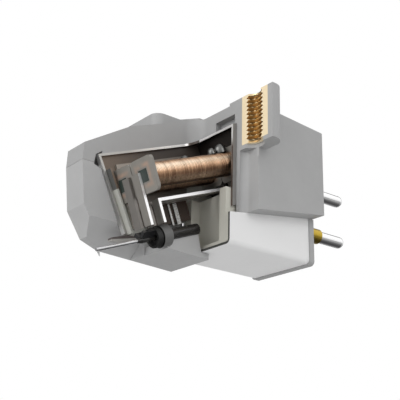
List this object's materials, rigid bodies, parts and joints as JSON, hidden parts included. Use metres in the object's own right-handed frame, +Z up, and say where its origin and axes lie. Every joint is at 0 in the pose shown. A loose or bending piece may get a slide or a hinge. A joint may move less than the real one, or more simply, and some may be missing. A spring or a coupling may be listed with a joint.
{
  "type": "turntable stylus cartridge",
  "caption": "Moving-magnet phono cartridge shown in section: pole pieces and coils in a shield can, cantilever with stylus, push-in stylus assembly, threaded mounts and rear pins.",
  "frame": {"origin": "mouth of the far mounting hole, on the mounting plane", "axes": "+Z up out of the mounting plane to the headshell, +Y back to the terminal pins, +X sideways to the sectioned side"},
  "size_m": [0.0185, 0.0305, 0.0188],
  "materials": {
    "housing": "fine matt grain",
    "grip": "fine matt grain",
    "brass": "turned",
    "can": "plain sheet",
    "dark_resin": "dull",
    "ivory_resin": "dull",
    "brown_resin": "dull",
    "pipe": "drawn tube",
    "beam": "drawn tube",
    "ring": "satin",
    "damper": "soft",
    "magnet": "ground",
    "tip": "polished diamond chip on a shank",
    "bobbin": "clear, tinted by the wire",
    "copper": "enamelled copper wire",
    "core": "laminated",
    "pole": "annealed sheet",
    "pin": "plated",
    "collar": "plated",
    "solder": "solder"
  },
  "bodies": {
    "cartridge": {"base_block": "brown_resin", "bobbin_far": "bobbin", "bobbin_near": "bobbin", "can_foot": "can", "collar_lower_far": "collar", "collar_lower_near": "collar", "collar_upper_far": "collar", "collar_upper_near": "collar", "core_far": "core", "core_near": "core", "front_pole_far": "pole", "front_pole_near": "pole", "housing": "housing", "insert_far": "brass", "insert_near": "brass", "liner_high": "dark_resin", "liner_low": "ivory_resin", "lower_shell": "housing", "pin_lower_far": "pin", "pin_lower_near": "pin", "pin_upper_far": "pin", "pin_upper_near": "pin", "rear_plate": "housing", "rear_pole_far": "pole", "rear_pole_near": "pole", "receiver_block": "ivory_resin", "shield_can": "can", "side_shield": "can", "solder_bead_1": "solder", "solder_bead_2": "solder", "solder_bead_3": "solder", "tab_front": "can", "tab_rear": "can", "terminal_board": "brown_resin", "winding_far": "copper", "winding_near": "copper"},
    "stylus_assembly": {"stylus_grip": "grip", "joint_pipe": "pipe", "damper_ring": "ring", "suspension_wire": "pipe"},
    "damper": {"rubber_damper": "damper"},
    "moving_system": {"cantilever_hub": "beam", "magnet_near": "magnet", "magnet_far": "magnet", "cantilever": "beam", "stylus_tip": "tip"}
  },
  "joints": [
    {"name": "stylus_slide", "type": "slide", "parent": "cartridge", "child": "stylus_assembly", "axis": [0, -0.9323, -0.3616], "range_m": [0, 0.012]},
    {"name": "cantilever_vertical", "type": "hinge", "parent": "stylus_assembly", "child": "damper", "pos_m": [0.00635, -0.00668, -0.01571], "axis": [1, 0, 0], "range_deg": [-1.5, 1.5], "stiffness_Nm_per_rad": 0.002},
    {"name": "cantilever_lateral", "type": "hinge", "parent": "damper", "child": "moving_system", "pos_m": [0.00635, -0.00668, -0.01571], "axis": [0, -0.3616, 0.9323], "range_deg": [-1.5, 1.5], "stiffness_Nm_per_rad": 0.002}
  ]
}
